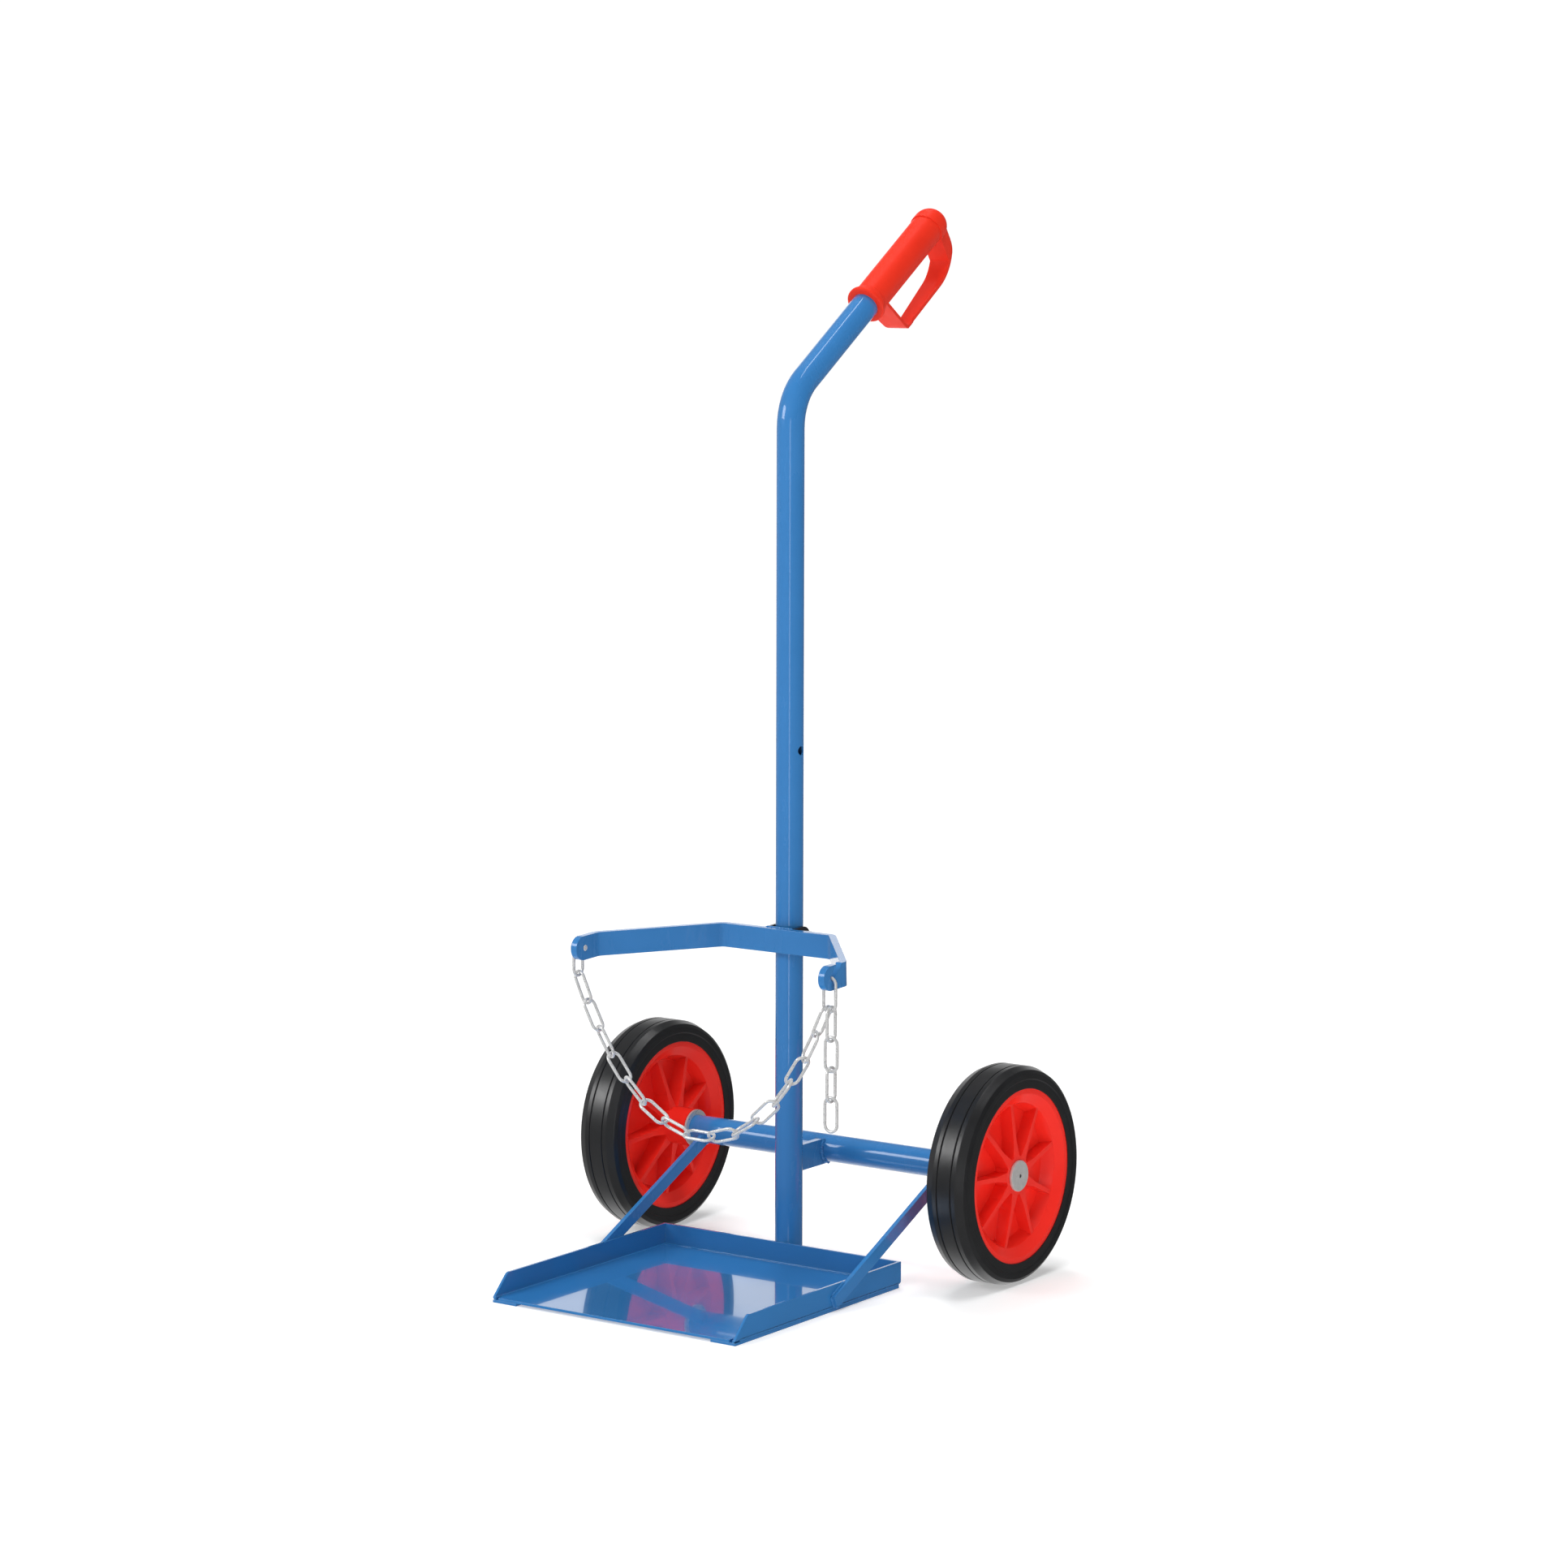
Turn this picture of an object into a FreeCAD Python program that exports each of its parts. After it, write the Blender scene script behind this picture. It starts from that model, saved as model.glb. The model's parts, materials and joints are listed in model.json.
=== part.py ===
import FreeCAD, Part
import math
import os

# A two-wheeled trolley for one gas cylinder. All sizes are in millimetres, and angles in degrees.
# X runs along the axle, the tray opens towards -Y, the handle leans towards +Y, and Z is up from the floor.
# Pieces are built with the mast's axis at X = Y = 0, and are moved together when they are written, so that
# the origin lies on the floor under the middle of the whole trolley.

V = FreeCAD.Vector
UP = V(0, 0, 1)
ALONG = V(1, 0, 0)
BACK = V(0, 1, 0)

# Clearances
WELD_GAP = 0.1  # between a curved face and what is welded to it
FIT_GAP = 0.05  # radial, between pieces pushed together and in the running roller bearings
MOVE_GAP = 0.3  # between pieces that move on each other
HOLE_GAP = 0.25  # radial, of a bolt in its hole
CUT_OVER = 1.0  # how far a cutting shape runs past what it cuts

# Mast
MAST_DIA = 32.0
MAST_WALL = 2.5
MAST_FOOT = 3.0
ELBOW_HEIGHT = 1000.2  # where the axes of the mast and of its upper end cross
ELBOW_RADIUS = 65.0
HANDLE_RISE = 34.0  # of the upper end, above level
SPARE_HOLE_HEIGHT = 600.0

# Handle, measured from its collar along the mast's upper end
UPPER_LENGTH = 180.0  # of the mast, from the elbow to the collar
HANDLE_LENGTH = 182.5
CAP_LENGTH = 29.0
GRIP_DIA = 39.0
COLLAR_DIA = 47.0
COLLAR_RING = 4.5
COLLAR_LENGTH = 13.0
COLLAR_ROUND = 2.0
CAP_DIA = 41.5
HANDLE_SOLID = 41.0  # length beyond the mast's end
GUARD_REACH = 67.0  # from the grip's axis to the guard's lower corner
GUARD_TAPER = 8.0  # by which the guard comes nearer to the grip at its top
GUARD_THICK = 4.0
GUARD_FOOT = 11.7
GUARD_LEG_RUN = 30.7  # how far the guard's lower leg leans along the grip
GUARD_LEG_WIDTH = 36.0
GUARD_TIP_WIDTH = 28.0
GUARD_WAIST_WIDTH = 17.5
GUARD_TOP_WIDTH = 28.0
GUARD_ROUND = 20.0
GUARD_TIP_ROUND = 10.0
GUARD_ROOT = 25.0  # solid length at the handle's end

# Tray
TRAY_WIDTH = 333.0
TRAY_DEPTH = 322.0
TRAY_RIM = 30.0
TRAY_SHEET = 3.0
TRAY_FOLD = 4.0
TRAY_SLOPE = 24.0
TRAY_ROUND = 8.0
RELIEF_WIDTH = 4.0
RELIEF_DEPTH = 7.0
SKID_WIDTH = 33.0
SKID_THICK = 3.0

# Axle and wheels
WHEEL_DIA = 250.0
WHEEL_SETOUT = 77.0  # from the tray's side to the wheel's middle plane
AXLE_BACK = 76.0  # from the mast's axis to the axle's
AXLE_TUBE_DIA = 32.0
AXLE_TUBE_WALL = 2.5
AXLE_DIA = 20.0
CENTRE_HOLE_DEPTH = 6.0
BUSH_LENGTH = 25.0
WASHER_DIA = 44.0
WASHER_THICK = 2.5
CAP_NUT_DIA = 35.6
CAP_NUT_THICK = 3.3
CAP_NUT_GRIP = 1.8
CAP_NUT_CHAMFER = 1.0
CAP_NUT_HOLE = 4.0
TYRE_WIDTH = 54.0
TYRE_CROWN = 30.0
TYRE_SHOULDER = 8.0
TYRE_RING = 10.0
TYRE_RING_STEP = 1.2
GROOVE_SPACING = 18.0
GROOVE_WIDTH = 1.8
GROOVE_DEPTH = 1.8
RIM_DIA = 200.0
RIM_WIDTH = 49.0
RIM_FACE = 6.0
DISH_DEPTH = 7.5  # from the rim's face to the ribs' ends
DISH_DIA = 166.0
WELL_DIA = 152.0
RIM_LIP_WIDTH = 5.0
RIM_LIP_HEIGHT = 4.0
WEB_THICK = 6.0
BOSS_DIA = 45.0
BOSS_INNER = 53.5
BOSS_OUTER = 20.0
RIB_COUNT = 9
RIB_ROOT = 13.0
RIB_WAIST = 6.0
RIB_WAIST_DIA = 80.0
RIB_TIP = 5.0
RIB_INNER_TOP = 26.0
ROLLER_DIA = 6.0
ROLLER_COUNT = 7
ROLLER_SHORT = 5.0
CAGE_SLACK = 0.9
POCKET_GAP = 0.15
RIGHT_TURN = 6.4
LEFT_TURN = 15.9

# Braces and link
BRACE_WIDTH = 15.0
BRACE_THICK = 5.0
BRACE_FOOT_AHEAD = 153.5
BRACE_FOOT_HEIGHT = 10.5
BRACE_TOP_DROP = 4.2  # of the brace's middle line, below the axle's axis
LINK_WIDTH = 30.0
LINK_DROP = 2.5
BAR_THICK = 8.0

# Cradle
CRADLE_HEIGHT = 384.0
BAR_WIDTH = 27.5
CRADLE_TILT = 2.2  # nose down, about the cradle bolt
CRADLE_MIDDLE = 148.0
CRADLE_ARM = 146.7
CRADLE_SPREAD = 51.0
CRADLE_BEND = 8.0
TAB_LENGTH = 42.0
TAB_PIN_AHEAD = 25.2
TAB_PIN_DROP = 13.8
CLEVIS_THICK = 3.0
CLEVIS_SIDE_GAP = 0.7
BOLT_DIA = 10.0
BOLT_FLATS = 17.0
BOLT_HEAD = 6.4
BOLT_NUT = 8.0
BOLT_TAIL = 2.5
RIVET_DIA = 7.0
RIVET_HEAD_DIA = 15.0
RIVET_HEAD = 4.0
RIVET_HEAD_CHAMFER = 2.0
RIVET_PROUD = 1.0
SLOT_WIDTH = 8.0
SLOT_SLANT = 47.0

# Chain
CHAIN_WIRE = 4.0
CHAIN_WIDTH = 20.0
CHAIN_INSIDE = 34.4
CHAIN_SLACK = 0.7  # between the wires of two links, and of a link and its hook
CHAIN_SIDE_PLAY = 0.5
CHAIN_SIDES = 8
CHAIN_BEND_STEPS = 6
LOOP_LINKS = 16
TAIL_LINKS = 4
TWIN_SPACING = 4.6  # between the two links that share the hooked link's lower bend
TWIST_TURN = 90.0  # of the loop's links about their line, over the whole loop
TWIST_SWAY = 16.0
TWIST_CURL = 14.0
TWIST_LEAN = 8.0  # by which each second link leans towards the ones beside it

# Places that follow from the sizes above
MAST_R = MAST_DIA / 2
AXLE_Z = WHEEL_DIA / 2
HANDLE_TILT = 90 - HANDLE_RISE
LEAN = V(0, math.cos(math.radians(HANDLE_RISE)), math.sin(math.radians(HANDLE_RISE)))
ELBOW = V(0, 0, ELBOW_HEIGHT)
TRAY_BACK = -MAST_R - WELD_GAP
TRAY_FRONT = TRAY_BACK - TRAY_DEPTH
TRAY_FLOOR = SKID_THICK + TRAY_SHEET
MAST_IN_GRIP = HANDLE_LENGTH - HANDLE_SOLID
GUARD_TOP_REACH = GUARD_REACH - GUARD_TAPER
GUARD_CORNER = GUARD_FOOT + GUARD_LEG_RUN
GUARD_SLANT = math.atan2(GUARD_TAPER, HANDLE_LENGTH - GUARD_CORNER)
# The guard's upper arc holds the trolley's rearmost point.
ARC_REACH = GUARD_TOP_REACH + GUARD_TOP_REACH * (math.tan(GUARD_SLANT) - 1 / math.cos(GUARD_SLANT))
ARC_ALONG = UPPER_LENGTH + HANDLE_LENGTH - GUARD_TOP_REACH
HANDLE_BACK = ARC_ALONG * LEAN.y + ARC_REACH * LEAN.z + GUARD_TOP_REACH
TO_ORIGIN = V(0, -(TRAY_FRONT + HANDLE_BACK) / 2, 0)

WHEEL_X = TRAY_WIDTH / 2 + WHEEL_SETOUT
TUBE_END = WHEEL_X - BOSS_INNER - MOVE_GAP - WASHER_THICK
HUB_BORE = AXLE_DIA / 2 + ROLLER_DIA + 2 * FIT_GAP
ROLLER_PITCH = AXLE_DIA / 2 + FIT_GAP + ROLLER_DIA / 2
BOSS_MIDDLE = (BOSS_OUTER - BOSS_INNER) / 2
BOSS_LENGTH = BOSS_OUTER + BOSS_INNER
RIM_R = RIM_DIA / 2
RIM_SEAT = RIM_R - RIM_LIP_HEIGHT

# The cradle's bar and clevis are drawn level, and are then tilted together about the bolt until they meet the mast.
TILT = FreeCAD.Rotation(ALONG, CRADLE_TILT)
TILT_ROOM = math.tan(math.radians(CRADLE_TILT)) * BAR_WIDTH / 2
BOLT = UP * CRADLE_HEIGHT
CLEVIS_BACK = -(MAST_R + WELD_GAP) / math.cos(math.radians(CRADLE_TILT)) - TILT_ROOM
CLEVIS_FRONT = CLEVIS_BACK - CLEVIS_THICK
CLEVIS_INSIDE = MAST_R + CLEVIS_SIDE_GAP
CLEVIS_OUTSIDE = CLEVIS_INSIDE + CLEVIS_THICK
CRADLE_FRONT = CLEVIS_FRONT - BAR_THICK
CRADLE_TOP = CRADLE_HEIGHT + BAR_WIDTH / 2
ARM_X = CRADLE_ARM * math.cos(math.radians(CRADLE_SPREAD))
ARM_Y = CRADLE_ARM * math.sin(math.radians(CRADLE_SPREAD))
TAB_X = CRADLE_MIDDLE / 2 + ARM_X
TAB_ROOT = CRADLE_FRONT - ARM_Y
PIN = BOLT + TILT.multVec(V(0, TAB_ROOT - TAB_PIN_AHEAD, BAR_WIDTH / 2 - TAB_PIN_DROP))

WIRE_R = CHAIN_WIRE / 2
BEND_R = (CHAIN_WIDTH - CHAIN_WIRE) / 2
LINK_LEG = CHAIN_INSIDE / 2 - BEND_R + WIRE_R
LINK_END = CHAIN_INSIDE / 2 + WIRE_R  # from a link's centre to the wire's axis at its end
TOUCH = WIRE_R + CHAIN_SLACK / 2  # from the wire's axis to the middle of the gap to the next link
LINK_PITCH = CHAIN_INSIDE - CHAIN_SLACK
FIRST_X = -TAB_X - BAR_THICK - CHAIN_SIDE_PLAY - WIRE_R
HOOK_X = TAB_X + BAR_THICK / 2
FIRST_CENTRE = V(FIRST_X, PIN.y, PIN.z + RIVET_DIA / 2 + MOVE_GAP - CHAIN_INSIDE / 2)
# The hooked link's bend drops from its middle to the tab's faces, and turns about the mean of the two heights.
HOOK_FLAT = math.sqrt(BEND_R**2 - (BAR_THICK / 2) ** 2)
HOOK_DROP = BEND_R - HOOK_FLAT
HOOK_CENTRE = V(HOOK_X, PIN.y, PIN.z + HOOK_DROP / 2 - BEND_R - LINK_LEG)
HOOK_ROOM = HOOK_DROP / 2 + WIRE_R * BEND_R / HOOK_FLAT
SLOT_SEAT = PIN + UP * (SLOT_WIDTH / 2 - HOOK_ROOM - CHAIN_SLACK)


def in_side_view(across):
    """Places outline points (y, z) on the plane X = across."""
    return lambda a, b: V(across, a, b)


def in_plan(height):
    """Places outline points (x, y) on the level plane Z = height."""
    return lambda a, b: V(a, b, height)


def rounded_wire(corners, place):
    """Joins corners (a, b, radius) by straight lines, with each corner rounded to its own radius."""
    stretches = []
    for i, (a, b, radius) in enumerate(corners):
        here = V(a, b, 0)
        before = V(*corners[i - 1][:2], 0) - here
        after = V(*corners[(i + 1) % len(corners)][:2], 0) - here
        half = before.getAngle(after) / 2
        before.normalize()
        after.normalize()
        cut = radius / math.tan(half)
        middle = here
        if radius:
            middle = here + (before + after).normalize() * (radius / math.sin(half) - radius)
        stretches.append([here + before * cut, middle, here + after * cut, radius])
    edges = []
    for i, (enter, middle, leave, radius) in enumerate(stretches):
        start = stretches[i - 1][2]
        if start.distanceToPoint(enter) > 1e-6:
            edges.append(Part.makeLine(place(start.x, start.y), place(enter.x, enter.y)))
        if radius:
            points = [place(p.x, p.y) for p in (enter, middle, leave)]
            edges.append(Part.Arc(*points).toShape())
    return Part.Wire(edges)


def plate(corners, place, sweep):
    """A flat piece with a rounded outline."""
    return Part.Face(rounded_wire(corners, place)).extrude(sweep)


def turned(profile, axis_point, axis):
    """A turned piece: a closed outline of (along, radius, round) swept about an axis."""
    side = BACK if axis == UP else UP
    wire = rounded_wire(profile, lambda a, r: axis_point + axis * a + side * r)
    return Part.Face(wire).revolve(axis_point, axis, 360)


def rod(radius, start, end):
    return Part.makeCylinder(radius, (end - start).Length, start, end - start)


def ring(outer, inner, start, end):
    reach = (end - start).normalize() * CUT_OVER
    return rod(outer, start, end).cut(rod(inner, start - reach, end + reach))


def box(low, high):
    return Part.makeBox(high.x - low.x, high.y - low.y, high.z - low.z, low)


def fused(pieces):
    return pieces[0].multiFuse(pieces[1:]).removeSplitter()


def mirrored(shape):
    return shape.mirror(V(0, 0, 0), ALONG)


def mast_rod(radius, beyond):
    """The mast's course as a solid rod: upright, bent back at the elbow, and beyond both ends by a length."""
    turn = math.radians(HANDLE_TILT)
    tangent = ELBOW_RADIUS * math.tan(turn / 2)
    low = ELBOW - UP * tangent
    high = ELBOW + LEAN * tangent
    section = Part.Face(Part.Wire(Part.makeCircle(radius, low, UP)))
    elbow = section.revolve(low + BACK * ELBOW_RADIUS, -ALONG, HANDLE_TILT)
    foot = V(0, 0, MAST_FOOT - beyond)
    top = ELBOW + LEAN * (UPPER_LENGTH + MAST_IN_GRIP + beyond)
    return fused([rod(radius, foot, low), elbow, rod(radius, high, top)])


def mast_tube():
    tube = mast_rod(MAST_R, 0).cut(mast_rod(MAST_R - MAST_WALL, CUT_OVER))
    for height in (CRADLE_HEIGHT, SPARE_HOLE_HEIGHT):
        reach = ALONG * MAST_DIA
        tube = tube.cut(rod(BOLT_DIA / 2 + HOLE_GAP, UP * height - reach, UP * height + reach))
    return tube


def guard():
    """The hand guard: a bent strip in side view, trimmed to its outlines from below and from behind."""
    lean = GUARD_LEG_RUN / GUARD_REACH
    wall = GUARD_THICK * math.hypot(1, lean)
    inner_reach = GUARD_REACH - GUARD_THICK
    half = CAP_DIA / 2
    side = in_side_view(-half)
    across = ALONG * CAP_DIA
    outside = plate([
        (0, GUARD_FOOT, 0),
        (GUARD_REACH, GUARD_CORNER, GUARD_ROUND),
        (GUARD_TOP_REACH, HANDLE_LENGTH, GUARD_TOP_REACH),
        (0, HANDLE_LENGTH, 0),
    ], side, across)
    window = plate([
        (0, GUARD_FOOT + wall, 0),
        (inner_reach, GUARD_FOOT + wall + lean * inner_reach, GUARD_ROUND - GUARD_THICK),
        (GUARD_TOP_REACH - GUARD_THICK, HANDLE_LENGTH - GUARD_THICK, GUARD_TOP_REACH - GUARD_THICK),
        (0, HANDLE_LENGTH - GUARD_THICK, 0),
    ], side, across)
    root = box(V(-half, 0, HANDLE_LENGTH - GUARD_ROOT), V(half, GUARD_REACH, HANDLE_LENGTH))
    band = outside.cut(window.cut(root))

    leg = GUARD_LEG_WIDTH / 2
    tip = GUARD_TIP_WIDTH / 2
    waist = GUARD_WAIST_WIDTH / 2
    top = GUARD_TOP_WIDTH / 2
    from_below = plate([
        (-leg, 0, 0),
        (leg, 0, 0),
        (tip, GUARD_REACH, GUARD_TIP_ROUND),
        (-tip, GUARD_REACH, GUARD_TIP_ROUND),
    ], in_plan(0), UP * HANDLE_LENGTH)
    from_behind = plate([
        (-leg, 0, 0),
        (leg, 0, 0),
        (leg, GUARD_CORNER - GUARD_TIP_ROUND, 0),
        (waist, GUARD_CORNER + GUARD_ROUND, 0),
        (top, HANDLE_LENGTH - top, 0),
        (top, HANDLE_LENGTH, top),
        (-top, HANDLE_LENGTH, top),
        (-top, HANDLE_LENGTH - top, 0),
        (-waist, GUARD_CORNER + GUARD_ROUND, 0),
        (-leg, GUARD_CORNER - GUARD_TIP_ROUND, 0),
    ], lambda a, b: V(a, 0, b), BACK * GUARD_REACH)
    return band.common(from_below).common(from_behind)


def handle_grip():
    grip = GRIP_DIA / 2
    cap = CAP_DIA / 2
    collar = COLLAR_DIA / 2
    step = HANDLE_LENGTH - CAP_LENGTH
    body = turned([
        (0, 0, 0),
        (0, collar, COLLAR_ROUND),
        (COLLAR_RING, collar, COLLAR_ROUND),
        (COLLAR_LENGTH, grip, 0),
        (step, grip, 0),
        (step, cap, 0),
        (HANDLE_LENGTH, cap, cap),
        (HANDLE_LENGTH, 0, 0),
    ], V(0, 0, 0), UP)
    bore = rod(MAST_R + FIT_GAP, V(0, 0, -CUT_OVER), UP * (MAST_IN_GRIP + FIT_GAP))
    handle = body.fuse(guard()).removeSplitter().cut(bore)
    handle.rotate(V(0, 0, 0), ALONG, -HANDLE_TILT)
    handle.translate(ELBOW + LEAN * UPPER_LENGTH)
    return handle


def tray():
    half = TRAY_WIDTH / 2
    sheet = TRAY_SHEET
    pan = folded_box(V(-half, TRAY_FRONT, SKID_THICK), V(half, TRAY_BACK, TRAY_RIM), TRAY_FOLD)
    room = folded_box(
        V(-half + sheet, TRAY_FRONT - CUT_OVER, TRAY_FLOOR),
        V(half - sheet, TRAY_BACK - sheet, TRAY_RIM + CUT_OVER),
        TRAY_FOLD - sheet,
    )
    kept = plate([
        (TRAY_FRONT, 0, 0),
        (TRAY_FRONT, TRAY_FLOOR, 0),
        (TRAY_FRONT + TRAY_SLOPE, TRAY_RIM, TRAY_ROUND),
        (TRAY_BACK, TRAY_RIM, 0),
        (TRAY_BACK, 0, 0),
    ], in_side_view(-half), ALONG * TRAY_WIDTH)
    folded = pan.cut(room).common(kept)
    edge = half - TRAY_FOLD
    for low in (-edge, edge - RELIEF_WIDTH):
        folded = folded.cut(box(
            V(low, TRAY_FRONT - CUT_OVER, 0),
            V(low + RELIEF_WIDTH, TRAY_FRONT + RELIEF_DEPTH, TRAY_RIM),
        ))
    return folded


def folded_box(low, high, fold):
    """A block with its left, right and back lower edges rounded, as sheet folded on three sides has them."""
    block = box(low, high)
    lower = [e for e in block.Edges if e.BoundBox.ZMax < low.z + CUT_OVER]
    folds = [e for e in lower if e.BoundBox.YMax > low.y + CUT_OVER]
    return block.makeFillet(fold, folds)


def tray_skid():
    half = TRAY_WIDTH / 2
    return box(V(half - SKID_WIDTH, TRAY_FRONT, 0), V(half, TRAY_BACK - TRAY_FOLD, SKID_THICK))


def axle_line(start, end):
    return V(start, AXLE_BACK, AXLE_Z), V(end, AXLE_BACK, AXLE_Z)


def brace():
    """A flat bar from the tray's side to the axle tube, coped to the tube."""
    foot = V(TRAY_WIDTH / 2, -BRACE_FOOT_AHEAD, BRACE_FOOT_HEIGHT)
    reach = V(0, AXLE_BACK - foot.y, AXLE_Z - BRACE_TOP_DROP - foot.z)
    bar = box(V(0, 0, -BRACE_WIDTH / 2), V(BRACE_THICK, reach.Length, BRACE_WIDTH / 2))
    bar.rotate(V(0, 0, 0), ALONG, math.degrees(math.atan2(reach.z, reach.y)))
    bar.translate(foot)
    return bar.cut(rod(AXLE_TUBE_DIA / 2 + WELD_GAP, *axle_line(0, WHEEL_X)))


def axle_link():
    """A short flat bar on edge between the mast and the axle tube, coped to both."""
    half = BAR_THICK / 2
    low = AXLE_Z - LINK_DROP - LINK_WIDTH / 2
    bar = box(V(-half, 0, low), V(half, AXLE_BACK, low + LINK_WIDTH))
    bar = bar.cut(rod(MAST_R + WELD_GAP, V(0, 0, 0), UP * WHEEL_DIA))
    return bar.cut(rod(AXLE_TUBE_DIA / 2 + WELD_GAP, *axle_line(-WHEEL_X, WHEEL_X)))


def axle_tube():
    return ring(AXLE_TUBE_DIA / 2, AXLE_TUBE_DIA / 2 - AXLE_TUBE_WALL, *axle_line(-TUBE_END, TUBE_END))


def axle_shaft():
    """The shaft through both wheels, with a centre hole in each end."""
    end = WHEEL_X + BOSS_OUTER + MOVE_GAP + CAP_NUT_GRIP
    shaft = rod(AXLE_DIA / 2, *axle_line(-end, end))
    for side in (-1, 1):
        hole = axle_line(side * (end - CENTRE_HOLE_DEPTH), side * (end + CUT_OVER))
        shaft = shaft.cut(rod(CAP_NUT_HOLE / 2, *hole))
    return shaft


def axle_bush():
    outer = AXLE_TUBE_DIA / 2 - AXLE_TUBE_WALL - FIT_GAP
    return ring(outer, AXLE_DIA / 2 + FIT_GAP, *axle_line(TUBE_END - BUSH_LENGTH, TUBE_END))


def inner_washer():
    return ring(WASHER_DIA / 2, AXLE_DIA / 2 + FIT_GAP, *axle_line(TUBE_END, TUBE_END + WASHER_THICK))


def axle_cap():
    """A pressed cap on the shaft's end, with a small hole in its middle."""
    face, _ = axle_line(WHEEL_X + BOSS_OUTER + MOVE_GAP, 0)
    bore = AXLE_DIA / 2 + FIT_GAP
    return turned([
        (0, bore, 0),
        (0, CAP_NUT_DIA / 2, 0),
        (CAP_NUT_THICK - CAP_NUT_CHAMFER, CAP_NUT_DIA / 2, 0),
        (CAP_NUT_THICK, CAP_NUT_DIA / 2 - CAP_NUT_CHAMFER, 0),
        (CAP_NUT_THICK, CAP_NUT_HOLE / 2, 0),
        (CAP_NUT_GRIP, CAP_NUT_HOLE / 2, 0),
        (CAP_NUT_GRIP, bore, 0),
    ], face, ALONG)


def both_sides(half_profile):
    """Completes one half of a wheel's section, listed from its middle plane out, with its mirror image."""
    other = [(-along, radius, rounding) for along, radius, rounding in reversed(half_profile)]
    return half_profile + other


def tyre():
    """Solid rubber tyre with two tread grooves and a raised ring on each side, seated between the rim's lips."""
    outer = WHEEL_DIA / 2
    side = TYRE_WIDTH / 2
    seat = RIM_SEAT + FIT_GAP
    lip = RIM_WIDTH / 2 - RIM_LIP_WIDTH - FIT_GAP
    rim = RIM_R + FIT_GAP
    groove = GROOVE_SPACING / 2
    half_groove = GROOVE_WIDTH / 2
    ring_radius = RIM_R + TYRE_RING
    return turned(both_sides([
        (groove - half_groove, outer, 0),
        (groove, outer - GROOVE_DEPTH, 0),
        (groove + half_groove, outer, 0),
        (TYRE_CROWN / 2, outer, 0),
        (side - TYRE_SHOULDER / 3, outer - TYRE_SHOULDER / 2, 0),
        (side, outer - TYRE_SHOULDER, 0),
        (side, ring_radius + TYRE_RING_STEP, 0),
        (side - TYRE_RING_STEP, ring_radius, 0),
        (side - TYRE_RING_STEP, rim, 0),
        (lip, rim, 0),
        (lip, seat, 0),
    ]), V(0, 0, 0), ALONG)


def rib_star(height):
    """Ribs that flare towards the boss, as tall blocks before their tops are shaped."""
    ribs = []
    inner = HUB_BORE
    waist = RIB_WAIST_DIA / 2
    outer = DISH_DIA / 2
    for i in range(RIB_COUNT):
        rib = plate([
            (-RIB_ROOT / 2, inner, 0),
            (RIB_ROOT / 2, inner, 0),
            (RIB_WAIST / 2, waist, 0),
            (RIB_TIP / 2, outer, 0),
            (-RIB_TIP / 2, outer, 0),
            (-RIB_WAIST / 2, waist, 0),
        ], in_side_view(0), ALONG * height)
        rib.rotate(V(0, 0, 0), ALONG, i * 360 / RIB_COUNT)
        ribs.append(rib)
    return fused(ribs)


def ribs(top):
    """Ribs on one side of the hub's web, whose edges drop from the boss to the rim."""
    boss = BOSS_DIA / 2
    under = turned([
        (0, HUB_BORE, 0),
        (top, HUB_BORE, 0),
        (top, boss, 0),
        (RIM_WIDTH / 2 - DISH_DEPTH, DISH_DIA / 2, 0),
        (0, DISH_DIA / 2, 0),
    ], V(0, 0, 0), ALONG)
    return rib_star(top).common(under)


def hub():
    """Moulded hub: boss, web, rim with a lip on each side for the tyre, and ribs on both faces."""
    web = WEB_THICK / 2
    edge = RIM_WIDTH / 2
    boss = BOSS_DIA / 2
    face = RIM_R - RIM_FACE
    dish = edge - DISH_DEPTH
    lip = edge - RIM_LIP_WIDTH
    body = turned([
        (-BOSS_INNER, HUB_BORE, 0),
        (-BOSS_INNER, boss, 0),
        (-web, boss, 0),
        (-web, WELL_DIA / 2, 0),
        (-dish, DISH_DIA / 2, 0),
        (-edge, face, 0),
        (-edge, RIM_R, 0),
        (-lip, RIM_R, 0),
        (-lip, RIM_SEAT, 0),
        (lip, RIM_SEAT, 0),
        (lip, RIM_R, 0),
        (edge, RIM_R, 0),
        (edge, face, 0),
        (dish, DISH_DIA / 2, 0),
        (web, WELL_DIA / 2, 0),
        (web, boss, 0),
        (BOSS_OUTER, boss, 0),
        (BOSS_OUTER, HUB_BORE, 0),
    ], V(0, 0, 0), ALONG)
    inner_ribs = mirrored(ribs(RIB_INNER_TOP))
    return fused([body, ribs(BOSS_OUTER), inner_ribs])


def around_axle(angle):
    """A point on the rollers' pitch circle, at the middle of the boss."""
    turn = math.radians(angle)
    return V(BOSS_MIDDLE, ROLLER_PITCH * math.cos(turn), ROLLER_PITCH * math.sin(turn))


def roller_rods(radius, length):
    rods = []
    for i in range(ROLLER_COUNT):
        middle = around_axle(i * 360 / ROLLER_COUNT)
        rods.append(rod(radius, middle - ALONG * length / 2, middle + ALONG * length / 2))
    return rods


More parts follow.
